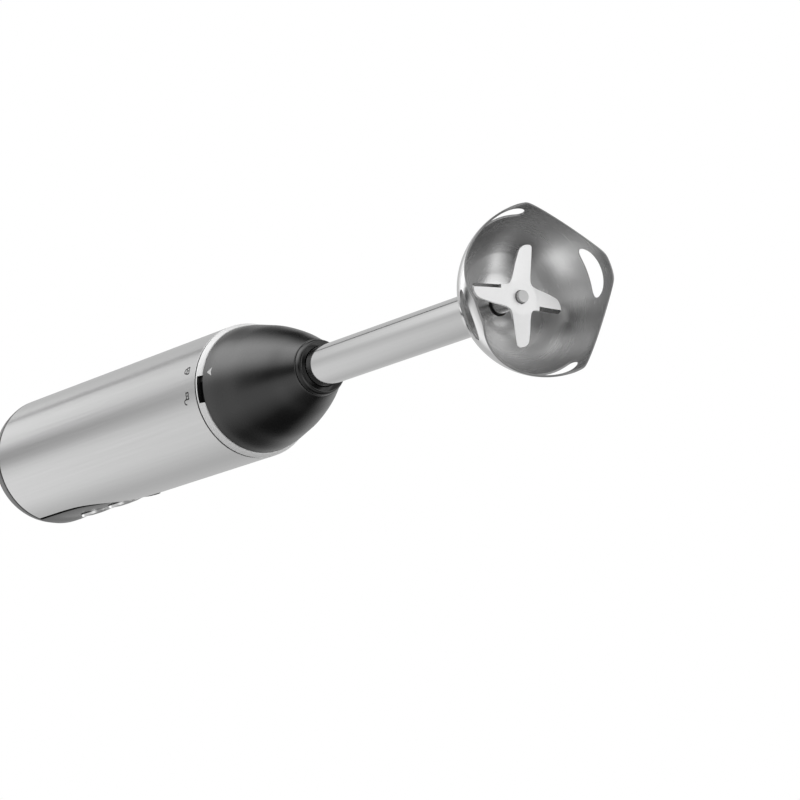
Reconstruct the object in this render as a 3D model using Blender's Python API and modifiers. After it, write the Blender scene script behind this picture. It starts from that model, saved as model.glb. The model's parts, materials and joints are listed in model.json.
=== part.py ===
"""Immersion blender: motor handle with a twist-off blending foot.

The blender stands on the feet of its bell.  +Z runs up the drive axis, -Y is the
button side, and the origin is the centre of the plane that the four feet touch.
Sizes below are in millimetres and angles in degrees; the helpers turn them into
metres and radians.  A turned profile is a list of (radius, height) points that
starts on the outer side and runs down it.
"""
import math

import bmesh
import bpy
from mathutils import Matrix

MM = 0.001
GAP = 0.3                     # clearance between neighbouring pieces

# ---- driving dimensions ----------------------------------------------------
BODY_R = 30.0                 # steel handle sleeve
SLEEVE_WALL = 0.9
SLEEVE_Z = (221.9, 403.8)
TOTAL_TOP = 428.0

BELL_R = 35.1                 # outer radius of the hemispherical bell
BELL_SHEET = 1.0
SCALLOP_RISE = 8.2            # height of the rim between two feet
FOOT_FLAT = 9.0               # half-angle of each flat foot
SCALLOP_STEPS = 120           # cuts round the rim, a multiple of 4 with some inside each foot
NECK_R = 10.3
NECK_TOP = 43.0
HUB_PLANE = 32.6              # flat ceiling inside the bell
SLOT_LOW = 5.5                # flow slot above each foot
SLOT_HIGH = 12.7
SLOT_CURVE = 3.2              # rise of its lower edge from the middle to the ends
SLOT_TIP = 10.6
SLOT_HALF_WIDTH = 10.5

TUBE_R = 8.75
TUBE_WALL = 0.8
TUBE_Z = (34.1, 188.0)

DOME_END_Z = 167.6            # soft grip dome of the foot
DOME_TOP_Z = 217.5
DOME_WALL = 2.4
DOME_R = ((217.5, 28.4), (212.0, 27.7), (205.0, 26.2), (197.0, 24.35), (189.0, 21.75),
          (181.0, 18.65), (174.0, 15.4), (167.6, 12.5))
COLLAR_Z = (163.0, 167.3)
COLLAR_R = (10.7, 12.35)

SHAFT_R = 2.5                 # drive shaft in the foot
SHAFT_Z = (15.1, 219.0)
BLADE_Z = 17.5
BLADE_THICK = 1.2
BLADE_REACH = 21.3            # tip of a wing along its own axis
BLADE_FIRST_ANGLE = 25.0
WING_BEND_R = 7.0             # the wings bend up and down by turns from this radius
WING_SLOPE = 0.171

TWIST = 17.5                  # foot twist between locked and open
LUG_ANGLES = (90.0, 210.0, 330.0)
NOTCH_ANGLE = 16.5            # middle of the notch in the bezel ring
KEY_ANGLE = 25.3              # key on the dome that travels in the notch

PANEL_TIP_Z = 324.6           # black front panel
PANEL_HALF_WIDTH = 18.0
PANEL_TOP_Z = 403.4
PANEL_R = (28.2, 30.4)
POWER_Z = 353.0
TURBO_Z = 379.0
BUTTON_R = 8.0

CARRIER_R = (25.6, 27.2)      # plastic half shells inside the sleeve
STACK_Z = (262.0, 290.0)      # stator and armature laminations
STATOR_R = 22.5
POLE_R = 13.6
WINDOW_R = 18.6
ARMATURE_R = 13.0
MOTOR_SHAFT_R = 3.0
BOLT_Y = 20.6                 # long motor bolts
DIAL_Y = -7.0
DIAL_R = 13.5
GLAND_Y = 19.0

# ---- collections and materials ---------------------------------------------
for old in list(bpy.data.objects):
    bpy.data.objects.remove(old)


def new_collection(name):
    collection = bpy.data.collections.new(name)
    bpy.context.scene.collection.children.link(collection)
    return collection


PARTS = new_collection("immersion_blender")
CUTTERS = new_collection("cutters")


def material(name, colour, roughness, metallic=0.0):
    made = bpy.data.materials.new(name)
    made.use_nodes = True
    shader = made.node_tree.nodes["Principled BSDF"]
    shader.inputs["Base Color"].default_value = (*colour, 1.0)
    shader.inputs["Roughness"].default_value = roughness
    shader.inputs["Metallic"].default_value = metallic
    made.diffuse_color = (*colour, 1.0)
    return made


BRUSHED = material("brushed_steel", (0.60, 0.60, 0.61), 0.30, 1.0)
POLISHED = material("polished_steel", (0.70, 0.70, 0.71), 0.16, 1.0)
CHROME = material("chrome", (0.86, 0.86, 0.87), 0.07, 1.0)
SOFT_BLACK = material("soft_touch_black", (0.025, 0.025, 0.027), 0.50)
GLOSS_BLACK = material("gloss_black", (0.015, 0.015, 0.016), 0.20)
GREY_PLASTIC = material("grey_plastic", (0.22, 0.23, 0.24), 0.45)
WHITE_PLASTIC = material("white_nylon", (0.72, 0.71, 0.66), 0.40)
RUBBER = material("rubber", (0.03, 0.03, 0.03), 0.75)
COPPER = material("copper", (0.62, 0.28, 0.12), 0.35, 1.0)
BRASS = material("brass", (0.62, 0.48, 0.22), 0.30, 1.0)
BRONZE = material("sintered_bronze", (0.45, 0.31, 0.16), 0.50, 1.0)
LAMINATION = material("lamination_steel", (0.32, 0.33, 0.35), 0.45, 1.0)
CARBON = material("carbon", (0.05, 0.05, 0.055), 0.60)
BOARD_GREEN = material("circuit_board", (0.04, 0.20, 0.09), 0.45)
ALUMINIUM = material("aluminium", (0.70, 0.71, 0.73), 0.32, 1.0)
AMBER = material("film_capacitor", (0.55, 0.36, 0.05), 0.35)


# ---- modelling helpers -----------------------------------------------------
def add_object(name, mesh, surface=None, collection=PARTS):
    made = bpy.data.objects.new(name, mesh)
    collection.objects.link(made)
    if surface:
        mesh.materials.append(surface)
    return made


def as_cutter(made):
    made.hide_render = True
    made.display_type = 'WIRE'
    return made


def turned(name, profile, surface=None, steps=40, place=(0.0, 0.0), closed=True, collection=PARTS):
    """Turn (radius, height) points about Z; closed=False when both ends lie on the axis."""
    mesh = bpy.data.meshes.new(name)
    points = [(radius * MM, 0.0, height * MM) for radius, height in profile]
    edges = [(i, i + 1) for i in range(len(points) - 1)]
    if closed:
        edges.append((len(points) - 1, 0))
    mesh.from_pydata(points, edges, [])
    made = add_object(name, mesh, surface, collection)
    made.location = (place[0] * MM, place[1] * MM, 0.0)
    screw = made.modifiers.new("turn", 'SCREW')
    screw.steps = steps
    screw.render_steps = steps
    screw.use_merge_vertices = True
    screw.merge_threshold = 0.00001
    screw.use_smooth_shade = False
    return made


def ring(name, inner, outer, low, high, surface=None, **where):
    profile = [(outer, high), (outer, low), (inner, low), (inner, high)]
    return turned(name, profile, surface, **where)


def add_box(mesh_data, size, centre, angle):
    """Add a box of size (x, y, z) at centre, then swing it round the Z axis."""
    made = bmesh.ops.create_cube(mesh_data, size=1.0)["verts"]
    bmesh.ops.scale(mesh_data, verts=made, vec=[side * MM for side in size])
    bmesh.ops.translate(mesh_data, verts=made, vec=[c * MM for c in centre])
    turn = Matrix.Rotation(math.radians(angle), 3, 'Z')
    bmesh.ops.rotate(mesh_data, verts=made, cent=(0.0, 0.0, 0.0), matrix=turn)


def boxes(name, specs, surface=None, collection=PARTS):
    """One object from boxes; each spec is (size, centre, angle about Z)."""
    mesh_data = bmesh.new()
    for size, centre, angle in specs:
        add_box(mesh_data, size, centre, angle)
    mesh = bpy.data.meshes.new(name)
    mesh_data.to_mesh(mesh)
    mesh_data.free()
    return add_object(name, mesh, surface, collection)


def rods(name, radius, specs, surface=None, collection=PARTS, segments=20):
    """One object from upright cylinders; each spec is (x, y, low, high)."""
    mesh_data = bmesh.new()
    for x, y, low, high in specs:
        made = bmesh.ops.create_cone(mesh_data, cap_ends=True, segments=segments,
                                     radius1=radius * MM, radius2=radius * MM,
                                     depth=(high - low) * MM)["verts"]
        middle = (x * MM, y * MM, 0.5 * (low + high) * MM)
        bmesh.ops.translate(mesh_data, verts=made, vec=middle)
    mesh = bpy.data.meshes.new(name)
    mesh_data.to_mesh(mesh)
    mesh_data.free()
    return add_object(name, mesh, surface, collection)


def flat_outline(name, loops, low, high, surface=None, collection=PARTS):
    """Fill closed (x, y) loops, the inner ones as holes, between two heights."""
    curve = bpy.data.curves.new(name, 'CURVE')
    curve.dimensions = '2D'
    curve.fill_mode = 'BOTH'
    curve.extrude = 0.5 * (high - low) * MM
    for loop in loops:
        spline = curve.splines.new('POLY')
        spline.points.add(len(loop) - 1)
        for point, (x, y) in zip(spline.points, loop):
            point.co = (x * MM, y * MM, 0.0, 1.0)
        spline.use_cyclic_u = True
    guide = bpy.data.objects.new(name + "_guide", curve)
    bpy.context.scene.collection.objects.link(guide)
    guide.location.z = 0.5 * (low + high) * MM
    return curve_to_solid(guide, name, surface, collection)


def curve_to_solid(guide, name, surface, collection=PARTS):
    """Replace a curve object by a welded mesh object of the same shape."""
    bpy.context.view_layer.update()
    evaluated = guide.evaluated_get(bpy.context.evaluated_depsgraph_get())
    mesh = bpy.data.meshes.new_from_object(evaluated)
    mesh.name = name
    mesh_data = bmesh.new()
    mesh_data.from_mesh(mesh)
    bmesh.ops.remove_doubles(mesh_data, verts=mesh_data.verts, dist=0.00001)
    bmesh.ops.recalc_face_normals(mesh_data, faces=mesh_data.faces)
    mesh_data.to_mesh(mesh)
    mesh_data.free()
    mesh.materials.clear()
    made = add_object(name, mesh, surface, collection)
    made.matrix_world = guide.matrix_world
    bpy.data.objects.remove(guide)
    return made


def circle_points(radius, count, centre=(0.0, 0.0)):
    turns = [2.0 * math.pi * i / count for i in range(count)]
    return [(centre[0] + radius * math.cos(t), centre[1] + radius * math.sin(t)) for t in turns]


def combine(target, other, operation):
    step = target.modifiers.new(operation.lower(), 'BOOLEAN')
    step.operation = operation
    step.object = as_cutter(other)
    return target


def face_forward(made, y, z):
    """Lay an object built about Z so that its +Z end points at the user (-Y)."""
    made.rotation_euler = (math.radians(90.0), 0.0, 0.0)
    made.location = (0.0, y * MM, z * MM)
    return made


# ---- blending foot ---------------------------------------------------------
def arc(radius, start, end, count):
    """Points (r, z) on a circle about the origin; angles are above the XY plane."""
    turns = [math.radians(start + (end - start) * i / (count - 1)) for i in range(count)]
    return [(radius * math.cos(t), radius * math.sin(t)) for t in turns]


def rim_height(angle):
    """Height of the rim, which four leaning planes cut away between the flat feet."""
    from_middle = math.radians(45.0 - abs((angle + 45.0) % 90.0 - 45.0))
    foot_x = BELL_R * math.cos(math.radians(45.0 - FOOT_FLAT))
    lean = (math.sqrt(BELL_R ** 2 - SCALLOP_RISE ** 2) - foot_x) / SCALLOP_RISE * BELL_R
    across = BELL_R * math.cos(from_middle)
    square = lean ** 2 + across ** 2
    root = math.sqrt((foot_x * lean) ** 2 - square * (foot_x ** 2 - across ** 2))
    return max(0.0, BELL_R * (root - foot_x * lean) / square)


def scallop_cutter():
    """A disc under the rim whose top edge follows the scallops."""
    reach = BELL_R + 9.0
    mesh_data = bmesh.new()
    depth = 20.0
    bmesh.ops.create_cone(mesh_data, cap_ends=True, cap_tris=True, segments=SCALLOP_STEPS,
                          radius1=reach * MM, radius2=reach * MM, depth=depth * MM)
    bmesh.ops.translate(mesh_data, verts=mesh_data.verts, vec=(0.0, 0.0, -0.5 * depth * MM))
    for vert in mesh_data.verts:
        on_top_edge = vert.co.z > -MM and vert.co.xy.length > MM
        if on_top_edge:
            angle = math.degrees(math.atan2(vert.co.y, vert.co.x))
            vert.co.z = rim_height(angle) * reach / (BELL_R - 0.5) * MM
    mesh = bpy.data.meshes.new("scallops")
    mesh_data.to_mesh(mesh)
    mesh_data.free()
    return add_object("scallops", mesh, collection=CUTTERS)


def slot_outline():
    """Round-ended slot over a foot: (y, z) points, its lower edge following the rim."""
    count = 14
    low, high = [], []
    for i in range(count + 1):
        share = math.sin(math.pi / 2.0 * (2.0 * i / count - 1.0))
        opened = math.sqrt(max(0.0, 1.0 - abs(share) ** 6))
        y = share * SLOT_HALF_WIDTH
        low_z = SLOT_LOW + SLOT_CURVE * share ** 2
        low.append((y, SLOT_TIP + (low_z - SLOT_TIP) * opened))
        high.append((y, SLOT_TIP + (SLOT_HIGH - SLOT_TIP) * opened))
    return low + high[-2:0:-1]


def make_bell():
    outer_start = math.degrees(math.acos((NECK_R + 0.8) / BELL_R))
    inner_r = BELL_R - BELL_SHEET
    inner_end = math.degrees(math.asin(HUB_PLANE / inner_r))
    profile = [(NECK_R, NECK_TOP), (NECK_R, 34.6)]
    profile += arc(BELL_R, outer_start, 0.0, 10)
    profile += arc(inner_r, 0.0, inner_end, 9)
    profile += [(4.6, HUB_PLANE), (4.6, 33.8), (TUBE_R + GAP, 33.8), (TUBE_R + GAP, NECK_TOP)]
    bell = turned("bell_guard", profile, BRUSHED, steps=48)
    combine(bell, scallop_cutter(), 'DIFFERENCE')
    for quarter in range(4):
        slot = flat_outline("slot_%d" % quarter, [slot_outline()], 0.0, 12.0, collection=CUTTERS)
        slot.rotation_euler = (math.radians(90.0), 0.0, math.radians(90.0 + 90.0 * quarter))
        turn = math.radians(90.0 * quarter)
        slot.location = (34.0 * MM * math.cos(turn), 34.0 * MM * math.sin(turn), 0.0)
        combine(bell, slot, 'DIFFERENCE')
    return bell


def wing_points(angle):
    """One blade wing from its root to its tip and back, then the fillet to the next wing."""
    shape = [(6.6, -4.9), (8.8, -4.45), (13.8, -3.8), (18.3, -2.85), (19.7, -2.0), (20.7, -0.7),
             (21.2, 1.2), (BLADE_REACH, 2.6), (20.9, 3.0), (14.1, 3.6), (9.0, 3.95), (6.9, 4.3),
             (5.5, 5.0)]
    turn = math.radians(angle)
    return [(x * math.cos(turn) - y * math.sin(turn), x * math.sin(turn) + y * math.cos(turn))
            for x, y in shape]


def make_blade():
    """Cross blade: two opposite wings bend up, the other two bend down as far."""
    loop = []
    for k in range(4):
        loop += wing_points(BLADE_FIRST_ANGLE + 90.0 * k)
    half = 0.5 * BLADE_THICK
    hole = circle_points(SHAFT_R + GAP, 16)
    blade = flat_outline("blade", [loop, hole], BLADE_Z - half, BLADE_Z + half, POLISHED)
    for vert in blade.data.vertices:
        turn = math.atan2(vert.co.y, vert.co.x) - math.radians(BLADE_FIRST_ANGLE)
        side = 1.0 if math.cos(2.0 * turn) > 0.0 else -1.0
        beyond = max(0.0, vert.co.xy.length - WING_BEND_R * MM)
        vert.co.z += side * WING_SLOPE * beyond
    return blade


def make_dome():
    outer = [(r, z) for z, r in DOME_R]
    inner = [(r - DOME_WALL, z) for z, r in reversed(DOME_R) if z > 176.0]
    boss = TUBE_R + GAP
    profile = outer + [(boss, DOME_END_Z), (boss, 184.0), (11.6, 184.0), (11.6, 177.0),
                       (14.2, 177.0)] + inner
    dome = turned("foot_dome", profile, SOFT_BLACK, steps=36)
    key = boxes("dome_key", [((1.1, 2.3, 3.6), (28.05, 0.0, 218.1), KEY_ANGLE)],
                collection=CUTTERS)
    return combine(dome, key, 'UNION')


def make_bayonet_collar():
    profile = [(23.3, 230.0), (23.3, 209.4), (23.6, 209.0), (23.6, 206.4), (9.5, 206.4),
               (9.5, 209.0), (20.6, 209.0), (20.6, 230.0)]
    collar = turned("bayonet_collar", profile, WHITE_PLASTIC, steps=36)
    lugs = [((4.0, 7.6, 3.0), (24.0, 0.0, 228.5), angle) for angle in LUG_ANGLES]
    return combine(collar, boxes("lugs", lugs, collection=CUTTERS), 'UNION')


def dogs(count, angle, low, high):
    """Coupling dogs: blocks standing on a coupling disc."""
    step = 360.0 / count
    middle = 0.5 * (low + high)
    return [((4.2, 3.8, high - low), (5.6, 0.0, middle), angle + step * k) for k in range(count)]


def make_foot():
    make_bell()
    ring("foot_tube", TUBE_R - TUBE_WALL, TUBE_R, *TUBE_Z, POLISHED, steps=32)
    make_dome()
    collar = [(COLLAR_R[1], COLLAR_Z[1]), (11.7, 164.9), (COLLAR_R[0], COLLAR_Z[0] + 0.2),
              (TUBE_R + GAP, COLLAR_Z[0] - 0.4), (TUBE_R + GAP, COLLAR_Z[1])]
    turned("collar_ring", collar, GLOSS_BLACK, steps=32)
    make_bayonet_collar()
    bush_r = TUBE_R - TUBE_WALL - GAP
    ring("lower_bush", SHAFT_R + GAP, bush_r, 36.2, 50.0, BRONZE, steps=24)
    ring("upper_bush", SHAFT_R + GAP, bush_r, 176.0, 187.0, BRONZE, steps=24)
    seal = [(4.3, 35.8), (4.3, 33.2), (3.9, 32.4), (SHAFT_R + GAP, 32.4), (SHAFT_R + GAP, 35.8)]
    turned("shaft_seal", seal, RUBBER, steps=24)
    for number, angle in enumerate((30.0, 150.0, 270.0), 1):
        turn = math.radians(angle)
        place = (15.5 * math.cos(turn), 15.5 * math.sin(turn), 209.3, 211.4)
        rods("collar_screw_%d" % number, 2.4, [place], POLISHED, segments=12)
    end, top = SHAFT_Z
    turned("drive_shaft", [(0.0, top), (SHAFT_R, top), (SHAFT_R, end + 0.4), (2.1, end),
                           (0.0, end)], POLISHED, steps=20, closed=False)
    ring("blade_sleeve", SHAFT_R + GAP, 3.9, BLADE_Z + 1.4, 31.8, POLISHED, steps=20)
    make_blade()
    driven = ring("driven_coupling", SHAFT_R + GAP, 8.4, 211.9, 220.3, WHITE_PLASTIC, steps=24)
    combine(driven, boxes("driven_dogs", dogs(2, 90.0, 219.5, 224.6), collection=CUTTERS), 'UNION')


# ---- handle casing ---------------------------------------------------------
def panel_outline(grow):
    """Pointed front panel: (x, z) points, grown outwards by a clearance."""
    half = PANEL_HALF_WIDTH + grow
    top = PANEL_TOP_Z + 4.0 * grow
    side = [(1.0, 0.5), (3.4, 4.6), (8.0, 12.8), (12.4, 22.0), (15.6, 32.0), (17.4, 43.0)]
    right = [(x + grow, PANEL_TIP_Z - grow + rise) for x, rise in side]
    right += [(half, PANEL_TIP_Z + 56.0), (half, top)]
    left = [(-x, z) for x, z in reversed(right)]
    return [(0.0, PANEL_TIP_Z - grow)] + right + left


def panel_prism(name, grow):
    """Panel outline extruded through the front of the handle only."""
    prism = flat_outline(name, [panel_outline(grow)], 12.0, 40.0, collection=CUTTERS)
    prism.rotation_euler = (math.radians(90.0), 0.0, 0.0)
    prism.location = (0.0, -26.0 * MM, 0.0)
    return prism


def make_front_panel():
    panel = ring("front_panel", *PANEL_R, 318.0, PANEL_TOP_Z, SOFT_BLACK, steps=48)
    combine(panel, panel_prism("panel_shape", 0.0), 'INTERSECT')
    for height in (POWER_Z, TURBO_Z):
        hole = rods("button_hole_%d" % height, BUTTON_R + 0.4, [(0.0, 0.0, -5.0, 12.0)],
                    collection=CUTTERS, segments=32)
        combine(panel, face_forward(hole, -24.0, height), 'DIFFERENCE')
    return panel


def make_sleeve():
    sleeve = ring("handle_sleeve", BODY_R - SLEEVE_WALL, BODY_R, *SLEEVE_Z, BRUSHED, steps=48)
    return combine(sleeve, panel_prism("sleeve_opening", GAP + 0.1), 'DIFFERENCE')


def make_bezel():
    profile = [(30.0, 221.5), (30.0, 220.9), (29.7, 219.7), (28.8, 217.8), (24.3, 217.8),
               (24.3, 221.5)]
    bezel = turned("bezel_ring", profile, CHROME, steps=48)
    notch = boxes("notch", [((6.0, 11.9, 4.0), (29.8, 0.0, 218.4), NOTCH_ANGLE)],
                  collection=CUTTERS)
    return combine(bezel, notch, 'DIFFERENCE')


def make_bayonet_socket():
    profile = [(28.7, 234.0), (28.7, 222.2), (23.9, 222.2), (23.9, 226.4), (26.7, 226.4),
               (26.7, 231.0), (9.6, 231.0), (9.6, 234.0)]
    socket = turned("bayonet_socket", profile, GREY_PLASTIC, steps=36)
    slots = [((4.0, 9.8, 6.0), (24.6, 0.0, 223.8), angle - TWIST) for angle in LUG_ANGLES]
    return combine(socket, boxes("lug_slots", slots, collection=CUTTERS), 'DIFFERENCE')


def make_carriers():
    """Two half shells that hold the motor, open behind the buttons."""
    for name, side in (("carrier_left", -1.0), ("carrier_right", 1.0)):
        shell = ring(name, *CARRIER_R, 234.4, 399.6, GREY_PLASTIC, steps=32)
        keep = boxes(name + "_half", [((40.0, 80.0, 200.0), (side * 20.2, 0.0, 320.0), 0.0)],
                     collection=CUTTERS)
        combine(shell, keep, 'INTERSECT')
        window = boxes(name + "_window", [((30.0, 24.0, 90.0), (0.0, -27.0, 364.0), 0.0)],
                       collection=CUTTERS)
        combine(shell, window, 'DIFFERENCE')


def make_top_cap():
    profile = [(0.0, 419.4), (20.4, 418.6), (25.4, 415.8), (28.8, 411.0), (30.0, 405.4),
               (30.0, 404.2), (27.8, 404.2), (27.2, 409.4), (24.2, 413.8), (19.6, 416.2),
               (0.0, 417.0)]
    cap = turned("top_cap", profile, SOFT_BLACK, steps=36, closed=False)
    holes = rods("spindle_hole", 3.2, [(0.0, DIAL_Y, 410.0, 425.0)], collection=CUTTERS)
    combine(cap, holes, 'DIFFERENCE')
    holes = rods("gland_hole", 5.6, [(0.0, GLAND_Y, 410.0, 425.0)], collection=CUTTERS)
    return combine(cap, holes, 'DIFFERENCE')


def make_gland():
    profile = [(4.2, 427.0), (5.2, 420.0), (5.2, 412.6), (3.2, 412.6), (3.2, 427.0)]
    return turned("cord_gland", profile, RUBBER, steps=24, place=(0.0, GLAND_Y))


# ---- controls --------------------------------------------------------------
def make_button(name, height, surface):
    """Domed button with a stem, built about Z and laid forwards."""
    profile = [(0.0, 6.9), (5.0, 6.6), (BUTTON_R, 5.4), (BUTTON_R, 1.3), (2.4, 1.3),
               (2.4, -0.9), (0.0, -0.9)]
    button = turned(name, profile, surface, steps=24, closed=False)
    return face_forward(button, -24.4, height)


def make_controls():
    make_button("power_button", POWER_Z, GLOSS_BLACK)
    make_button("turbo_button", TURBO_Z, GREY_PLASTIC)
    for name, height in (("power_switch", POWER_Z), ("turbo_switch", TURBO_Z)):
        body = boxes(name, [((12.8, 5.3, 7.0), (0.0, -18.95, height), 0.0)], GREY_PLASTIC)
        bore = rods(name + "_bore", 1.7, [(0.0, 0.0, 0.0, 6.0)], collection=CUTTERS, segments=12)
        combine(body, face_forward(bore, -18.0, height), 'DIFFERENCE')
    for name, height in (("power_plunger", POWER_Z), ("turbo_plunger", TURBO_Z)):
        pin = rods(name, 1.2, [(0.0, 0.0, 0.0, 3.3)], WHITE_PLASTIC, segments=12)
        face_forward(pin, -19.9, height)
    boxes("circuit_board", [((34.0, 1.6, 62.0), (0.0, -15.2, 361.0), 0.0)], BOARD_GREEN)
    boxes("capacitor", [((18.0, 8.0, 15.0), (-4.0, -10.0, 343.0), 0.0)], AMBER)
    fins = [((1.4, 9.0, 24.0), (x, -9.3, 374.0), 0.0) for x in (-12.0, -7.0, -2.0, 3.0)]
    base = boxes("heat_sink", [((18.0, 1.8, 24.0), (-4.5, -13.2, 374.0), 0.0)], ALUMINIUM)
    combine(base, boxes("fins", fins, collection=CUTTERS), 'UNION')
    ring("choke", 3.0, 7.0, 340.0, 350.0, COPPER, steps=20, place=(12.5, -6.0))
    ring("speed_sensor", SHAFT_R + 0.4, 8.0, 402.0, 409.0, BOARD_GREEN, steps=24,
         place=(0.0, DIAL_Y))
    turned("dial_spindle", [(0.0, 424.5), (2.5, 424.5), (2.5, 403.0), (0.0, 403.0)], POLISHED,
           steps=16, place=(0.0, DIAL_Y), closed=False)
    edge = 2.4
    socket_r, socket_top = 2.8, 424.9
    dial = [(0.0, TOTAL_TOP), (DIAL_R - edge, TOTAL_TOP), (DIAL_R, TOTAL_TOP - edge),
            (DIAL_R, 420.0), (socket_r, 420.0), (socket_r, socket_top), (0.0, socket_top)]
    turned("speed_dial", dial, GLOSS_BLACK, steps=32, place=(0.0, DIAL_Y), closed=False)


# ---- motor -----------------------------------------------------------------
def stator_bore():
    """Inner contour: two pole faces on the X axis and two winding windows between them."""
    count = 60
    points = []
    for i in range(count):
        angle = 360.0 * i / count
        from_pole = abs((angle + 90.0) % 180.0 - 90.0)
        radius = POLE_R if from_pole <= 50.0 else WINDOW_R
        turn = math.radians(angle)
        points.append((radius * math.cos(turn), radius * math.sin(turn)))
    return points


def armature_outline():
    """Slotted armature: each tooth is one arc between two slots."""
    teeth = 12
    points = []
    for tooth in range(teeth):
        start = 360.0 * tooth / teeth
        for offset, radius in ((2.5, 8.6), (2.5, ARMATURE_R), (27.5, ARMATURE_R), (27.5, 8.6)):
            turn = math.radians(start + offset)
            points.append((radius * math.cos(turn), radius * math.sin(turn)))
    return points


def field_coil(name, pole_angle):
    """Closed winding round one pole: two straight legs joined by arcs over the stack."""
    half, radius, steps = 62.0, 16.3, 8
    low, high = STACK_Z[0] - 3.6, STACK_Z[1] + 3.6
    sweep = [-half + 2.0 * half * i / steps for i in range(steps + 1)]
    path = [(angle, high) for angle in sweep] + [(angle, low) for angle in reversed(sweep)]
    curve = bpy.data.curves.new(name, 'CURVE')
    curve.dimensions = '3D'
    curve.bevel_depth = 1.9 * MM
    curve.bevel_resolution = 2
    spline = curve.splines.new('POLY')
    spline.points.add(len(path) - 1)
    for point, (angle, height) in zip(spline.points, path):
        turn = math.radians(pole_angle + angle)
        point.co = (radius * math.cos(turn) * MM, radius * math.sin(turn) * MM, height * MM, 1.0)
    spline.use_cyclic_u = True
    guide = bpy.data.objects.new(name + "_guide", curve)
    bpy.context.scene.collection.objects.link(guide)
    return curve_to_solid(guide, name, COPPER)


def make_fan():
    fan = ring("cooling_fan", MOTOR_SHAFT_R + GAP, 18.4, 243.0, 244.4, WHITE_PLASTIC, steps=24)
    blades = [((11.0, 1.2, 6.8), (12.6, 0.0, 247.2), 45.0 * k) for k in range(8)]
    combine(fan, boxes("fan_blades", blades, collection=CUTTERS), 'UNION')
    hub = ring("fan_hub", MOTOR_SHAFT_R + GAP, 6.0, 243.6, 250.6, steps=16, collection=CUTTERS)
    return combine(fan, hub, 'UNION')


def bolt_places(low, high):
    return [(0.0, side * BOLT_Y, low, high) for side in (-1.0, 1.0)]


def make_motor():
    holes = [circle_points(1.7, 12, (0.0, side * BOLT_Y)) for side in (-1.0, 1.0)]
    loops = [circle_points(STATOR_R, 36), stator_bore()] + holes
    flat_outline("stator_stack", loops, *STACK_Z, LAMINATION)
    field_coil("field_coil_left", 180.0)
    field_coil("field_coil_right", 0.0)
    loops = [armature_outline(), circle_points(MOTOR_SHAFT_R + GAP, 16)]
    flat_outline("armature_core", loops, *STACK_Z, LAMINATION)
    ring("upper_winding", 5.0, 11.4, STACK_Z[1] + GAP, 296.6, COPPER, steps=24)
    ring("lower_winding", 5.0, 11.4, 255.4, STACK_Z[0] - GAP, COPPER, steps=24)
    ring("commutator", MOTOR_SHAFT_R + GAP, 8.0, 298.6, 309.0, COPPER, steps=24)
    turned("motor_shaft", [(0.0, 321.0), (MOTOR_SHAFT_R, 321.0), (MOTOR_SHAFT_R, 228.6),
                           (0.0, 228.6)], POLISHED, steps=20, closed=False)
    make_fan()
    bore = MOTOR_SHAFT_R + GAP
    drive = ring("drive_coupling", bore, 8.4, 226.6, 234.6, WHITE_PLASTIC, steps=24)
    combine(drive, boxes("drive_dogs", dogs(2, 0.0, 222.0, 227.2), collection=CUTTERS), 'UNION')
    for name, low in (("lower_bearing", 236.4), ("upper_bearing", 311.4)):
        profile = [(8.0, low + 5.0), (8.0, low), (6.5, low), (6.5, low + 0.5), (4.6, low + 0.5),
                   (4.6, low), (MOTOR_SHAFT_R + GAP, low), (MOTOR_SHAFT_R + GAP, low + 5.0)]
        turned(name, profile, POLISHED, steps=20)
    for name, low in (("lower_bracket", 237.2), ("upper_bracket", 312.2)):
        bracket = ring(name, 8.3, 25.2, low, low + 3.0, ALUMINIUM, steps=32)
        passage = rods(name + "_holes", 1.7, bolt_places(low - 2.0, low + 6.0), collection=CUTTERS,
                       segments=12)
        combine(bracket, passage, 'DIFFERENCE')
    for side, place in zip(("front", "rear"), bolt_places(235.0, 318.0)):
        rods("motor_bolt_" + side, 1.3, [place], POLISHED, segments=12)
    for side, angle in (("front", 270.0), ("rear", 90.0)):
        holder = boxes("brush_holder_" + side, [((9.0, 7.0, 7.0), (14.6, 0.0, 303.8), angle)],
                       BRASS)
        bore = boxes(side + "_bore", [((12.0, 4.6, 4.6), (14.6, 0.0, 303.8), angle)],
                     collection=CUTTERS)
        combine(holder, bore, 'DIFFERENCE')
        boxes("carbon_brush_" + side, [((8.6, 4.0, 4.0), (12.7, 0.0, 303.8), angle)], CARBON)


make_foot()
make_sleeve()
make_bezel()
make_bayonet_socket()
make_front_panel()
make_carriers()
make_top_cap()
make_gland()
make_controls()
make_motor()
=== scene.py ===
"""Immersion blender: fine surfaces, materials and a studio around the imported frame.

Shapes are written in millimetres in the part's frame (+Z up the drive axis, -Y the button
side) and turned into metres by MM.  A profile is a list of (radius, height) points, and a
third number rounds the corner.  Main sizes come from the boxes of the CAD nodes.
"""
import json
import math

import bmesh
import bpy
from mathutils import Matrix, Vector


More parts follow.
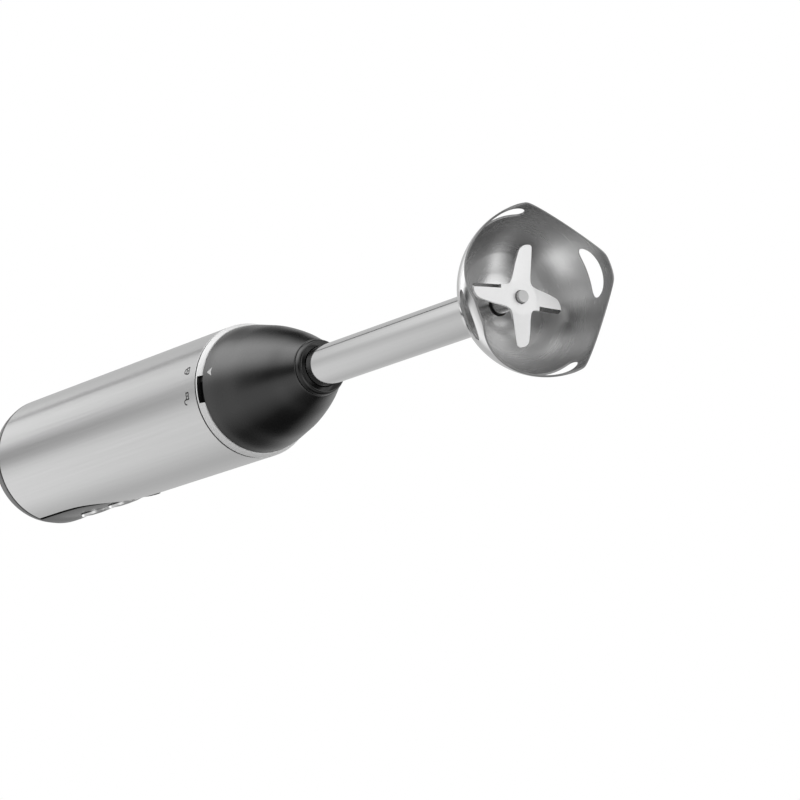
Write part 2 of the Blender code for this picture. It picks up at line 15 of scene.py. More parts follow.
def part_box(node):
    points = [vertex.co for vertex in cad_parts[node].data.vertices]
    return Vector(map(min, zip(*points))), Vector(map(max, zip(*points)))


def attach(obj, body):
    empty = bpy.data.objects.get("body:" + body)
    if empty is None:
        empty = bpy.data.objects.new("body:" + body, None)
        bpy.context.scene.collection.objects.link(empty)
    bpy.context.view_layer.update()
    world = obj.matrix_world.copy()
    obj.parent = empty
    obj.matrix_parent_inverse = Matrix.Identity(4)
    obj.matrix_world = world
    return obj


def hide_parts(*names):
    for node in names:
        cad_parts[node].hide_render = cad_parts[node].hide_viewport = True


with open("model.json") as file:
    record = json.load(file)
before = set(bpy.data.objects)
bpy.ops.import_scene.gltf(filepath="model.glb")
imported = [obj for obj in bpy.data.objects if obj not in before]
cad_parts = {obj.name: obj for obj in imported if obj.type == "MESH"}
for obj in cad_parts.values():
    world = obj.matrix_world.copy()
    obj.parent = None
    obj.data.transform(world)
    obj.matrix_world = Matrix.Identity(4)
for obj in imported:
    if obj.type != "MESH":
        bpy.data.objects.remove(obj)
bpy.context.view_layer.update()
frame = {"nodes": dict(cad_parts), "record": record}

MM = 0.001


def extent(node):
    """Lowest and highest corner of a CAD node, in millimetres."""
    low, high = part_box(node)
    return low / MM, high / MM


# ---- sizes ------------------------------------------------------------------
_, BELL_HIGH = extent("bell_guard")
BELL_R = BELL_HIGH.x
SHEET = 0.8                       # bell sheet
BELL_IN_R = BELL_R - SHEET
NECK_R = 10.3                     # neck that holds the tube
HUB_Z = 32.6                      # flat ceiling inside the bell
HUB_HOLE_R = 4.6
SCALLOP_RISE = 8.2
FOOT_FLAT = 9.0                   # half-angle of a flat foot, degrees
SLOT_HALF = 18.3                  # half-angle of a flow slot, degrees
SLOT_LOW, SLOT_HIGH, SLOT_TIP_Z = 5.5, 12.7, 10.6
SLOT_CURVE = 3.2                  # rise of the slot's lower edge from its middle to its ends

TUBE_LOW, TUBE_HIGH = extent("foot_tube")
TUBE_R = TUBE_HIGH.x
TUBE_WALL = 0.8
DOME_LOW, _ = extent("foot_dome")
DOME_R = ((217.5, 28.4), (212.0, 27.7), (205.0, 26.2), (197.0, 24.35), (189.0, 21.75),
          (181.0, 18.65), (174.0, 15.4), (167.6, 12.5))   # (height, outer radius)
DOME_WALL = 2.4
COLLAR_LOW, COLLAR_HIGH = extent("collar_ring")
_, BEZEL_HIGH = extent("bezel_ring")
BODY_R = BEZEL_HIGH.x
SLEEVE_LOW, SLEEVE_HIGH = extent("handle_sleeve")
SLEEVE_WALL = 0.9
PANEL_LOW, PANEL_HIGH = extent("front_panel")
PANEL_HALF = PANEL_HIGH.x
PANEL_R, PANEL_WALL = 30.4, 1.5
HOLLOW_DEPTH = 1.5                # thumb hollow in the panel
HOLLOW_FULL_Z = 341.0             # it is full from here
HOLLOW_END_Z, HOLLOW_FADE = 388.0, 12.0   # and fades out above here
PANEL_SIDE = ((0.0, 0.0), (1.6, 1.3), (3.6, 4.8), (8.0, 12.8), (12.4, 22.0), (15.6, 32.0),
              (17.4, 43.0), (18.0, 56.0))   # (distance from the middle, rise above the tip)
CAP_LOW, _ = extent("top_cap")
DIAL_LOW, DIAL_HIGH = extent("speed_dial")
DIAL_R = DIAL_HIGH.x
DIAL_Y = 0.5 * (DIAL_LOW.y + DIAL_HIGH.y)
GLAND_LOW, GLAND_HIGH = extent("cord_gland")
GLAND_Y = 0.5 * (GLAND_LOW.y + GLAND_HIGH.y)
BUTTON_R = 8.0
BUTTON_SEAT_Y = -24.4             # where the buttons' and their wells' profiles start
SHAFT_LOW, SHAFT_HIGH = extent("drive_shaft")
SHAFT_R = SHAFT_HIGH.x
BLADE_Z = 17.5                    # middle of the flat part of the blade
BLADE_THICK = 1.2
BLADE_ANGLE = 25.0
WING_BEND_R = 7.0
WING_SLOPE = 0.171
NOTCH_ANGLE, NOTCH_WIDTH, NOTCH_HEIGHT = 16.5, 11.9, 3.7
NOTCH_FLOOR_R, NOTCH_TOP = 26.8, 220.1
NOTCH_REACH = 6.0                 # depth of the notch's cutter, past the ring's outside
KEY_ANGLE = 25.3
RECESS_Z = 220.95                 # recess between the bezel ring and the sleeve; faces above it are painted black as shade
MARK_HEIGHT = 229.4               # lock marks on the sleeve
LOCK_ANGLE, OPEN_ANGLE, ARROW_ANGLE = 36.0, 14.2, 30.5


# ---- mesh helpers -----------------------------------------------------------
def rounded(points, closed=False, steps=5):
    """Replace each corner that has a third number by a curve starting that far from it."""
    path = []
    for i, point in enumerate(points):
        corner = Vector(point[:2])
        cut = point[2] if len(point) > 2 else 0.0
        if not cut or (not closed and i in (0, len(points) - 1)):
            path.append(corner)
            continue
        before = Vector(points[i - 1][:2])
        after = Vector(points[(i + 1) % len(points)][:2])
        cut = min(cut, 0.49 * (before - corner).length, 0.49 * (after - corner).length)
        start = corner + (before - corner).normalized() * cut
        end = corner + (after - corner).normalized() * cut
        for k in range(steps + 1):
            s = k / steps
            path.append(start * (1 - s) ** 2 + corner * 2 * s * (1 - s) + end * s * s)
    return path


def smooth_curve(points, per_span):
    """Catmull-Rom curve through 2D points."""
    knots = [Vector(p) for p in points]
    knots = [knots[0] * 2 - knots[1]] + knots + [knots[-1] * 2 - knots[-2]]
    path = []
    for i in range(1, len(knots) - 2):
        a, b, c, d = knots[i - 1:i + 3]
        for k in range(per_span):
            t = k / per_span
            path.append(0.5 * (2 * b + (c - a) * t + (2 * a - 5 * b + 4 * c - d) * t * t
                               + (3 * b - a - 3 * c + d) * t ** 3))
    path.append(knots[-2])
    return path


def finish_mesh(name, mesh_data, smooth_angle=35.0):
    """Weld, face outwards, scale to metres and shade smooth except at real edges."""
    bmesh.ops.remove_doubles(mesh_data, verts=mesh_data.verts, dist=0.0005)
    bmesh.ops.recalc_face_normals(mesh_data, faces=mesh_data.faces)
    bmesh.ops.scale(mesh_data, verts=mesh_data.verts, vec=(MM, MM, MM))
    mesh = bpy.data.meshes.new(name)
    mesh_data.to_mesh(mesh)
    mesh_data.free()
    mesh.shade_smooth()
    mesh.set_sharp_from_angle(angle=math.radians(smooth_angle))
    return mesh


def rings_to_mesh(mesh_data, rings, around=True, along=True, skip=None):
    """Quads between neighbouring rings of points; around and along close the two ways."""
    verts = [[mesh_data.verts.new(point) for point in ring] for ring in rings]
    count = len(verts[0])
    for i in range(len(verts) if along else len(verts) - 1):
        upper, lower = verts[i], verts[(i + 1) % len(verts)]
        for j in range(count if around else count - 1):
            if skip and skip(i, j):
                continue
            k = (j + 1) % count
            mesh_data.faces.new((upper[j], upper[k], lower[k], lower[j]))
    return verts


def turned(name, profile, steps=128, closed=True, centre=(0.0, 0.0), smooth_angle=35.0):
    """Turn a profile about an upright axis; closed=False when both ends lie on the axis."""
    rings = []
    for radius, height in profile:
        radius = max(radius, 0.0001)
        rings.append([(centre[0] + radius * math.cos(2 * math.pi * j / steps),
                       centre[1] + radius * math.sin(2 * math.pi * j / steps), height)
                      for j in range(steps)])
    mesh_data = bmesh.new()
    rings_to_mesh(mesh_data, rings, along=closed)
    return finish_mesh(name, mesh_data, smooth_angle)


def box_mesh(name, size, centre, angle=0.0):
    mesh_data = bmesh.new()
    bmesh.ops.create_cube(mesh_data, size=1.0)
    bmesh.ops.scale(mesh_data, verts=mesh_data.verts, vec=size)
    bmesh.ops.translate(mesh_data, verts=mesh_data.verts, vec=centre)
    turn = Matrix.Rotation(math.radians(angle), 3, 'Z')
    bmesh.ops.rotate(mesh_data, verts=mesh_data.verts, cent=(0, 0, 0), matrix=turn)
    return finish_mesh(name, mesh_data)


def forwards(mesh, height, y):
    """Lay a mesh built about Z so that it points at the user, its base at this y."""
    mesh.transform(Matrix.Translation((0.0, y * MM, height * MM))
                   @ Matrix.Rotation(math.radians(90.0), 4, 'X'))
    return mesh


def evaluated_mesh(obj):
    bpy.context.view_layer.update()
    return bpy.data.meshes.new_from_object(
        obj.evaluated_get(bpy.context.evaluated_depsgraph_get()))


def cut_away(mesh, *cutters):
    """The mesh with every cutter's volume taken out of it."""
    obj = bpy.data.objects.new("cut", mesh)
    bpy.context.scene.collection.objects.link(obj)
    tools = []
    for cutter in cutters:
        tool = bpy.data.objects.new("cutter", cutter)
        bpy.context.scene.collection.objects.link(tool)
        step = obj.modifiers.new("cut", 'BOOLEAN')
        step.object = tool
        tools.append(tool)
    made = evaluated_mesh(obj)
    for used in [obj, *tools]:
        bpy.data.objects.remove(used)
    return made


def piece(name, mesh, body, slot, materials, stands_for=(), bevel=0.0, wall=0.0, weighted=True):
    """Place a piece in the scene, on its body, with optional wall thickness and edge rounding."""
    obj = bpy.data.objects.new(name, mesh)
    bpy.context.scene.collection.objects.link(obj)
    for material in materials:
        mesh.materials.append(material)
    if wall:
        solid = obj.modifiers.new("wall", 'SOLIDIFY')
        solid.thickness = wall * MM
        solid.offset = -1.0
    if bevel:
        edge = obj.modifiers.new("edges", 'BEVEL')
        edge.width = bevel * MM
        edge.segments = 3
        edge.limit_method = 'ANGLE'
        edge.angle_limit = math.radians(40.0)
        edge.harden_normals = True
    elif weighted:
        normals = obj.modifiers.new("normals", 'WEIGHTED_NORMAL')
        normals.keep_sharp = True
    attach(obj, body)
    if stands_for:
        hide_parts(*stands_for)


# ---- material helpers -------------------------------------------------------
class Surface:
    """A Principled material with a small set of node helpers."""

    def __init__(self, name, **constants):
        self.material = bpy.data.materials.new(name)
        self.material.use_nodes = True
        self.tree = self.material.node_tree
        self.shader = self.tree.nodes["Principled BSDF"]
        for key, value in constants.items():
            socket = key.replace("_", " ").title().replace("Ior", "IOR")
            self.shader.inputs[socket].default_value = value

    def add(self, kind, inputs=None, **settings):
        made = self.tree.nodes.new(kind)
        for key, value in settings.items():
            setattr(made, key, value)
        for key, value in (inputs or {}).items():
            if isinstance(value, bpy.types.NodeSocket):
                self.tree.links.new(value, made.inputs[key])
            else:
                made.inputs[key].default_value = value
        return made

    def place(self):
        return self.add('ShaderNodeTexCoord').outputs["Object"]

    def scaled(self, x, y, z):
        return self.add('ShaderNodeMapping', {"Vector": self.place(), "Scale": (x, y, z)}).outputs[0]

    def maths(self, operation, *values):
        return self.add('ShaderNodeMath', dict(enumerate(values)), operation=operation).outputs[0]

    def turned_place(self, across, around):
        """Coordinates that change fast with radius and height, and slowly round the axis."""
        parts = self.add('ShaderNodeSeparateXYZ', {0: self.place()}).outputs
        square = self.maths('ADD', self.maths('MULTIPLY', parts[0], parts[0]),
                            self.maths('MULTIPLY', parts[1], parts[1]))
        radius = self.maths('MULTIPLY', self.maths('SQRT', square), across)
        height = self.maths('MULTIPLY', parts[2], across)
        angle = self.maths('MULTIPLY', self.maths('ARCTAN2', parts[1], parts[0]), around)
        return self.add('ShaderNodeCombineXYZ', {0: radius, 1: angle, 2: height}).outputs[0]

    def noise(self, vector, detail=3.0, rough=0.6):
        return self.add('ShaderNodeTexNoise', {"Vector": vector, "Scale": 1.0, "Detail": detail,
                                               "Roughness": rough}).outputs[0]

    def spread(self, value, low, high, start=0.3, end=0.7):
        """Map a 0..1 pattern, stretched between start and end, to low..high."""
        return self.add('ShaderNodeMapRange', {0: value, 1: start, 2: end, 3: low, 4: high}).outputs[0]

    def tint(self, value, dark, light):
        mixed = self.add('ShaderNodeMix', {0: value, 6: (*dark, 1.0), 7: (*light, 1.0)},
                         data_type='RGBA')
        return mixed.outputs[2]

    def link(self, socket, name):
        self.tree.links.new(socket, self.shader.inputs[name])

    def bump(self, height, distance, strength=1.0):
        made = self.add('ShaderNodeBump', {"Height": height, "Distance": distance * MM,
                                           "Strength": strength})
        self.link(made.outputs[0], "Normal")


def grey(value):
    return (value, value, value)


def streaked_metal(name, pattern, dark, light, rough, depth, anisotropic=0.0, fine=900.0,
                   metallic=1.0):
    """Metal with fine finishing lines: pattern 'along' the axis or 'round' it."""
    made = Surface(name, metallic=metallic, anisotropic=anisotropic)
    if pattern == 'along':
        lines = made.noise(made.scaled(fine, fine, fine / 70.0), 4.0, 0.7)
        broad = made.noise(made.scaled(fine / 9.0, fine / 9.0, fine / 300.0), 2.0)
    else:
        lines = made.noise(made.turned_place(fine, 2.0), 4.0, 0.75)
        broad = made.noise(made.turned_place(fine / 7.0, 1.2), 2.0)
    both = made.maths('MULTIPLY_ADD', broad, 0.4, made.maths('MULTIPLY', lines, 0.6))
    made.link(made.tint(made.spread(both, 0.0, 1.0), dark, light), "Base Color")
    made.link(made.spread(both, rough[0], rough[1]), "Roughness")
    made.bump(lines, depth)
    if anisotropic:
        made.shader.inputs["Anisotropic Rotation"].default_value = 0.25 * (pattern == 'round')
        tangent = made.add('ShaderNodeTangent', direction_type='RADIAL', axis='Z')
        made.link(tangent.outputs[0], "Tangent")
    return made.material


def grained(name, dark, light, rough, grain, depth, metallic=0.0, cloud=40.0, specular=0.5):
    """Moulded, cast or coated surface: fine grain over slow changes of tone."""
    made = Surface(name, metallic=metallic, specular_ior_level=specular)
    fine = made.noise(made.scaled(grain, grain, grain), 2.0)
    slow = made.noise(made.scaled(cloud, cloud, cloud), 3.0)
    both = made.maths('MULTIPLY_ADD', slow, 0.65, made.maths('MULTIPLY', fine, 0.35))
    made.link(made.tint(made.spread(both, 0.0, 1.0), dark, light), "Base Color")
    made.link(made.spread(both, rough[0], rough[1]), "Roughness")
    made.bump(fine, depth)
    return made.material


def layered(name, axis_scale, dark, light, rough, metallic, depth):
    """Stacked or wound material: bands along one axis, such as laminations or wire turns."""
    made = Surface(name, metallic=metallic)
    bands = made.add('ShaderNodeTexWave', {"Vector": made.scaled(*axis_scale), "Scale": 1.0,
                                           "Distortion": 0.4, "Detail": 2.0},
                     bands_direction='DIAGONAL').outputs[1]
    made.link(made.tint(bands, dark, light), "Base Color")
    made.link(made.spread(bands, rough[0], rough[1], 0.0, 1.0), "Roughness")
    made.bump(bands, depth)
    return made.material


STEEL_SLEEVE = streaked_metal("brushed_sleeve_steel", 'along', grey(0.60), grey(0.66),
                              (0.18, 0.23), 0.0008, anisotropic=0.3)
STEEL_TUBE = streaked_metal("satin_tube_steel", 'along', grey(0.68), grey(0.71), (0.08, 0.11),
                            0.0002, anisotropic=0.2, fine=1400.0)
STEEL_BELL_IN = streaked_metal("turned_bell_inside", 'round', grey(0.58), grey(0.66),
                               (0.23, 0.29), 0.0005, anisotropic=0.8, fine=1300.0)
STEEL_EDGE = streaked_metal("cut_sheet_edge", 'round', grey(0.22), grey(0.30), (0.38, 0.46),
                            0.0006, fine=2500.0)
# Near-black steel painted on the shaft's side as shade.
STEEL_PAINTED_SHADE = streaked_metal("painted_shade_shaft_side", 'round', grey(0.015), grey(0.03), (0.36, 0.44),
                            0.0004, fine=2500.0)
STEEL_SHAFT = streaked_metal("ground_shaft_end", 'round', grey(0.58), grey(0.66), (0.48, 0.54),
                             0.0004, fine=2500.0)
STEEL_BELL_OUT = streaked_metal("polished_bell_outside", 'round', grey(0.62), grey(0.70),
                                (0.14, 0.20), 0.0006, fine=1300.0)
STEEL_BLADE = streaked_metal("satin_blade_steel", 'along', grey(0.93), grey(0.97), (0.50, 0.56),
                             0.0003, fine=700.0)
# Dark steel painted on the blade's ground bevels as shade; the bevel itself is real.
STEEL_GROUND_PAINTED_SHADE = streaked_metal("ground_edge_painted_shade_steel", 'along', grey(0.13), grey(0.20), (0.24, 0.30),
                              0.0004, fine=1200.0)
STEEL_TURNED = streaked_metal("turned_steel", 'round', grey(0.58), grey(0.68), (0.20, 0.28),
                              0.0010, fine=2500.0)
CHROME = streaked_metal("chrome", 'round', grey(0.84), grey(0.90), (0.05, 0.10), 0.0002)
SATIN_CHROME = streaked_metal("satin_chrome", 'round', grey(0.90), grey(0.95), (0.36, 0.42),
                              0.0002, metallic=0.1)
SOFT_BLACK = grained("soft_touch_black", grey(0.004), grey(0.007), (0.24, 0.30), 5200.0, 0.002,
                     specular=1.0)
GLOSS_BLACK = grained("gloss_black", grey(0.010), grey(0.016), (0.12, 0.20), 1500.0, 0.001)
GREY_PLASTIC = grained("grey_plastic", grey(0.17), grey(0.23), (0.38, 0.50), 4000.0, 0.008)
WHITE_NYLON = grained("white_nylon", (0.66, 0.65, 0.60), (0.76, 0.75, 0.70), (0.36, 0.46),
                      3000.0, 0.006)
RUBBER = grained("rubber", grey(0.018), grey(0.032), (0.62, 0.78), 3500.0, 0.012)
COPPER = layered("copper_winding", (900.0, 900.0, 1800.0), (0.36, 0.13, 0.05),
                 (0.72, 0.33, 0.14), (0.25, 0.45), 1.0, 0.02)
BRASS = grained("brass", (0.52, 0.40, 0.17), (0.66, 0.52, 0.25), (0.24, 0.36), 2500.0, 0.004, 1.0)
BRONZE = grained("sintered_bronze", (0.34, 0.23, 0.11), (0.50, 0.35, 0.18), (0.42, 0.60),
                 4500.0, 0.02, 1.0)
LAMINATION = layered("lamination_steel", (0.0, 0.0, 6300.0), grey(0.16), grey(0.38),
                     (0.35, 0.55), 1.0, 0.03)
CARBON = grained("carbon", grey(0.03), grey(0.06), (0.50, 0.65), 3800.0, 0.01)
BOARD = grained("circuit_board", (0.02, 0.13, 0.05), (0.05, 0.24, 0.10), (0.30, 0.48), 900.0,
                0.01, cloud=260.0)
ALUMINIUM = grained("aluminium", grey(0.62), grey(0.76), (0.28, 0.42), 2800.0, 0.006, 1.0)
AMBER = grained("film_capacitor", (0.48, 0.29, 0.03), (0.60, 0.40, 0.07), (0.25, 0.38), 1200.0,
                0.004)
MARK_DARK = grained("etched_mark", grey(0.012), grey(0.022), (0.45, 0.60), 6000.0, 0.002,
                    specular=0.3)
MARK_LIGHT = grained("printed_mark", grey(0.62), grey(0.74), (0.45, 0.60), 6000.0, 0.002)

CARRIED_OVER = {
    'brushed_steel': STEEL_SLEEVE, 'polished_steel': STEEL_TURNED, 'chrome': CHROME,
    'soft_black': SOFT_BLACK, 'gloss_black': GLOSS_BLACK, 'grey_plastic': GREY_PLASTIC,
    'white_nylon': WHITE_NYLON, 'rubber': RUBBER, 'copper': COPPER, 'brass': BRASS,
    'bronze': BRONZE, 'lamination_steel': LAMINATION, 'carbon': CARBON, 'circuit_board': BOARD,
    'aluminium': ALUMINIUM, 'film_capacitor': AMBER,
}


# ---- foot -------------------------------------------------------------------
def rim_height(angle):
    """Height of the rim: four leaning planes cut it away, with soft corners at the feet."""
    from_middle = math.radians(45.0 - abs((angle + 45.0) % 90.0 - 45.0))
    foot_x = BELL_R * math.cos(math.radians(45.0 - FOOT_FLAT))
    lean = (math.sqrt(BELL_R ** 2 - SCALLOP_RISE ** 2) - foot_x) / SCALLOP_RISE * BELL_R
    across = BELL_R * math.cos(from_middle)
    square = lean ** 2 + across ** 2
    root = math.sqrt((foot_x * lean) ** 2 - square * (foot_x ** 2 - across ** 2))
    plane = BELL_R * (root - foot_x * lean) / square
    return max(0.0, 0.5 * (plane + math.hypot(plane, 1.4)) - 0.12)


def slot_edges(share):
    """Lower and upper edge of a flow slot, at a share from -1 to 1 of its half width."""
    open_part = math.sqrt(max(0.0, 1.0 - abs(share) ** 8))
    low = SLOT_LOW + SLOT_CURVE * share ** 2
    return (SLOT_TIP_Z + (low - SLOT_TIP_Z) * open_part,
            SLOT_TIP_Z + (SLOT_HIGH - SLOT_TIP_Z) * open_part)


def bell_columns():
    """(azimuth, share across a slot, is the next sector in a slot) round the bell."""
    slot_steps, between_steps = 32, 22
    columns = []
    for quarter in range(4):
        for i in range(slot_steps):
            share = math.sin(math.pi / 2.0 * (-1.0 + 2.0 * i / slot_steps))
            columns.append((90.0 * quarter + SLOT_HALF * share, share, True))
        for i in range(between_steps):
            step = (90.0 - 2.0 * SLOT_HALF) * i / between_steps
            columns.append((90.0 * quarter + SLOT_HALF + step, 1.0, False))
    return columns


def on_sphere(radius, latitude):
    return Vector((radius * math.cos(latitude), radius * math.sin(latitude)))


def between(start, end, count):
    return [start + (end - start) * i / (count - 1) for i in range(count)]


def bell_profiles(azimuth, share):
    """Four runs of (radius, height): inner crown, inner skirt with rim, outer skirt, crown."""
    low, high = (math.asin(z / BELL_R) for z in slot_edges(share))
    lip = 0.24
    rim = (math.asin(rim_height(azimuth) / BELL_R)) + lip / BELL_R
    ceiling = math.asin(HUB_Z / BELL_IN_R)
    crown_in = rounded([(HUB_HOLE_R, HUB_Z + 1.6), (HUB_HOLE_R, HUB_Z, 0.25),
                        tuple(on_sphere(BELL_IN_R, ceiling)) + (4.5,),
                        tuple(on_sphere(BELL_IN_R, ceiling - 0.3))], steps=12)
    crown_in += [on_sphere(BELL_IN_R, t) for t in between(ceiling - 0.3, high, 20)[1:]]
    skirt_in = [on_sphere(BELL_IN_R, t) for t in between(low, rim, 8)]
    down, out = Vector((math.sin(rim), -math.cos(rim))), Vector((math.cos(rim), math.sin(rim)))
    middle = on_sphere(BELL_R - 0.5 * SHEET, rim)
    edge = rounded([(-0.39, 0.0), (-0.39, lip - 0.02, 0.16), (0.39, lip - 0.02, 0.16), (0.39, 0.0)])
    skirt_in += [middle + out * across + down * below for across, below in edge[1:-1]]
    skirt_out = [on_sphere(BELL_R, t) for t in between(rim, low, 8)]
    shoulder = math.asin(33.0 / BELL_R)
    crown_out = [on_sphere(BELL_R, t) for t in between(high, shoulder, 24)]
    crown_out += rounded([tuple(crown_out[-1]), (NECK_R, 33.5, 1.4), (NECK_R, BELL_HIGH.z, 0.5),
                          (TUBE_R + 0.05, BELL_HIGH.z, 0.2), (TUBE_R + 0.05, HUB_Z + 1.6)])[1:]
    return crown_in, skirt_in, skirt_out, crown_out


def bell_mesh():
    """Closed sheet: scalloped rim with a soft lip, four slots, hub ceiling and neck."""
    columns = bell_columns()
    count = len(columns)
    mesh_data = bmesh.new()
    runs = [[], [], [], []]
    for azimuth, share, _ in columns:
        turn = math.radians(azimuth)
        for run, profile in zip(runs, bell_profiles(azimuth, share)):
            run.append([mesh_data.verts.new((r * math.cos(turn), r * math.sin(turn), z))
                        for r, z in profile])
    crown_in, skirt_in, skirt_out, crown_out = runs

    def strip(left, right, inside):
        for a, b, c, d in zip(left, left[1:], right[1:], right):
            mesh_data.faces.new((a, b, c, d)).material_index = inside

    for j, (_, _, slotted) in enumerate(columns):
        k = (j + 1) % count
        strip(crown_in[j], crown_in[k], 1)
        strip(skirt_in[j][:8], skirt_in[k][:8], 1)
        strip(skirt_in[j][7:] + skirt_out[j][:1], skirt_in[k][7:] + skirt_out[k][:1], 2)
        strip(skirt_out[j], skirt_out[k], 0)
        strip(crown_out[j], crown_out[k], 0)
        strip([crown_out[j][-1], crown_in[j][0]], [crown_out[k][-1], crown_in[k][0]], 0)
        if slotted:
            strip([crown_in[j][-1], crown_out[j][0]], [crown_in[k][-1], crown_out[k][0]], 2)
            strip([skirt_out[j][-1], skirt_in[j][0]], [skirt_out[k][-1], skirt_in[k][0]], 2)
    return finish_mesh("bell", mesh_data)


def wing_edges():
    """Trailing and leading edge of a blade wing as functions of the distance along it."""
    trailing = smooth_curve([(5.36, -5.36), (6.6, -4.9), (8.8, -4.45), (13.8, -3.8),
                             (18.3, -2.85), (19.7, -2.0), (20.7, -0.7), (21.15, 0.7),
                             (21.3, 1.9)], 8)
    leading = smooth_curve([(5.36, 5.36), (5.75, 4.85), (6.9, 4.3), (9.0, 3.95), (14.1, 3.6),
                            (20.0, 3.1), (20.8, 2.85), (21.2, 2.4), (21.3, 1.9)], 8)

    def across(path, x):
        for a, b in zip(path, path[1:]):
            if a.x <= x <= b.x:
                return a.y + (b.y - a.y) * (x - a.x) / max(b.x - a.x, 1e-6)
        return path[-1].y

    return lambda x: (across(trailing, x), across(leading, x))


def wing_rows():
    """Rows of (x, y, ground share) over one quarter of the blade, from the hole to the tip."""
    edges = wing_edges()
    root, tip, grind_from, grind_width = 5.36, 21.3, 9.4, 1.6
    shares = between(0.0, 1.0, 15)
    rows = []
    for mix in between(0.0, 1.0, 6):
        row = []
        for share in shares:
            turn = math.radians(-45.0 + 90.0 * share)
            hole = Vector((math.cos(turn), math.sin(turn))) * (SHAFT_R + 0.33)
            line = Vector((root, root * (2.0 * share - 1.0)))
            spot = hole.lerp(line, mix)
            row.append((spot.x, spot.y, 0.0))
        rows.append(row)
    stations = [root + (tip - root) * math.sin(math.pi / 2.0 * s) for s in between(0.0, 1.0, 44)]
    for x in stations[1:]:
        low, high = edges(x)
        width = min(grind_width, 0.45 * (high - low))
        ground = min(1.0, max(0.0, (x - grind_from) / 0.5))
        row = []
        for i, share in enumerate(shares):
            straight = low + (high - low) * share
            step = i - (len(shares) - 4)
            sloped = high - width * (1.0 - step / 3.0)
            if step < 0:
                sloped = low + (high - width - low) * i / (len(shares) - 4)
            y = straight + (sloped - straight) * min(1.0, max(0.0, (x - root) / 2.0))
            row.append((x, y, ground * max(0.0, step / 3.0)))
        rows.append(row)
    return rows


def blade_mesh():
    """Cross blade: wings bend up and down by turns, each ground on the face that shows it, with the
    ground bevels painted dark as shade.
    """
    sheet = bmesh.new()
    ground_layer = sheet.verts.layers.float.new("ground")
    side_layer = sheet.verts.layers.float.new("side")
    for k in range(4):
        turn = Matrix.Rotation(math.radians(BLADE_ANGLE + 90.0 * k), 2)
        side = 1.0 if k % 2 == 0 else -1.0
        rows = []
        for row in wing_rows():
            verts = []
            for x, y, ground in row:
                spot = turn @ Vector((x, y))
                beyond = max(0.0, spot.length - WING_BEND_R)
                lift = WING_SLOPE * beyond * min(1.0, beyond / 1.5) ** 0.5
                vert = sheet.verts.new((spot.x, spot.y, BLADE_Z + side * lift))
                vert[ground_layer] = ground
                vert[side_layer] = side
                verts.append(vert)
            rows.append(verts)
        for upper, lower in zip(rows, rows[1:]):
            for a, b, c, d in zip(upper, upper[1:], lower[1:], lower):
                sheet.faces.new((a, b, c, d))
    bmesh.ops.remove_doubles(sheet, verts=sheet.verts, dist=0.002)
    bmesh.ops.recalc_face_normals(sheet, faces=sheet.faces)
    sheet.verts.ensure_lookup_table()
    solid = bmesh.new()
    half, ground_depth = 0.5 * BLADE_THICK, 0.82 * BLADE_THICK
    layers = []
    for face_side in (-1.0, 1.0):
        verts = []
        for vert in sheet.verts:
            ground = vert[ground_layer] if vert[side_layer] == -face_side else 0.0
            offset = face_side * (half - ground * ground_depth)
            verts.append(solid.verts.new(vert.co + Vector((0.0, 0.0, offset))))
        layers.append(verts)
    for face in sheet.faces:
        corners = [vert.index for vert in face.verts]
        ground = any(vert[ground_layer] > 0.0 for vert in face.verts)
        side = sum(vert[side_layer] for vert in face.verts)
        for verts, face_side in zip(layers, (-1.0, 1.0)):
            made = solid.faces.new([verts[i] for i in corners])
            # Ground faces take the dark steel painted as shade.
            made.material_index = int(ground and side * face_side < 0.0)
    for edge in sheet.edges:
        if edge.is_boundary:
            a, b = (vert.index for vert in edge.verts)
            solid.faces.new((layers[0][a], layers[0][b], layers[1][b], layers[1][a]))
    sheet.free()
    return finish_mesh("blade", solid, 25.0)


def dome_outline():
    """Outer (radius, height) curve of the grip dome, from its top to the collar."""
    return [Vector((r, z)) for z, r in smooth_curve(DOME_R, 7)]


def make_bell():
    piece("bell", bell_mesh(), "foot", "brushed_steel",
          [STEEL_BELL_OUT, STEEL_BELL_IN, STEEL_EDGE], ["bell_guard"], bevel=0.1)


def make_tube():
    tube = rounded([(TUBE_R, TUBE_HIGH.z, 0.2), (TUBE_R, TUBE_LOW.z, 0.2),
                    (TUBE_R - TUBE_WALL, TUBE_LOW.z), (TUBE_R - TUBE_WALL, TUBE_HIGH.z)], True)
    piece("tube", turned("tube", tube, 160), "foot", "polished_steel", [STEEL_TUBE],
          ["foot_tube"])


def make_dome():
    """Grip dome with the seat of its upper bush, and the key that travels in the notch."""
    outer = dome_outline()
    end = DOME_LOW.z
    inner = [(p.x - DOME_WALL, p.y) for p in reversed(outer) if 176.0 < p.y < 216.0]
    profile = rounded([(28.4, 217.5, 0.35), tuple(outer[2]) + (0.0,)])
    profile += [tuple(p) for p in outer[3:-2]]
    profile += rounded([tuple(outer[-2]), tuple(outer[-1]) + (0.25,), (TUBE_R + 0.3, end),
                        (TUBE_R + 0.3, 184.0), (11.6, 184.0), (11.6, 177.0), (14.2, 177.0)])
    profile += inner + rounded([(26.0, 217.5), (28.4, 217.5)])[:1]
    piece("dome", turned("dome", profile, 192), "foot", "soft_black", [SOFT_BLACK], ["foot_dome"])
    key = box_mesh("dome_key", (0.8, 2.3, 2.7), (27.9, 0.0, 218.5), KEY_ANGLE)
    piece("dome_key", key, "foot", "soft_black", [SOFT_BLACK], bevel=0.2)


def make_collar():
    face = COLLAR_LOW.z + 1.6
    collar = rounded([(12.3, COLLAR_HIGH.z - 0.05, 0.2), (12.0, 165.4, 0.8), (11.2, face, 0.5),
                      (TUBE_R + 0.2, face + 0.5, 0.15), (TUBE_R + 0.2, COLLAR_HIGH.z)], True)
    piece("collar", turned("collar", collar, 128), "foot", "gloss_black", [GLOSS_BLACK],
          ["collar_ring"])


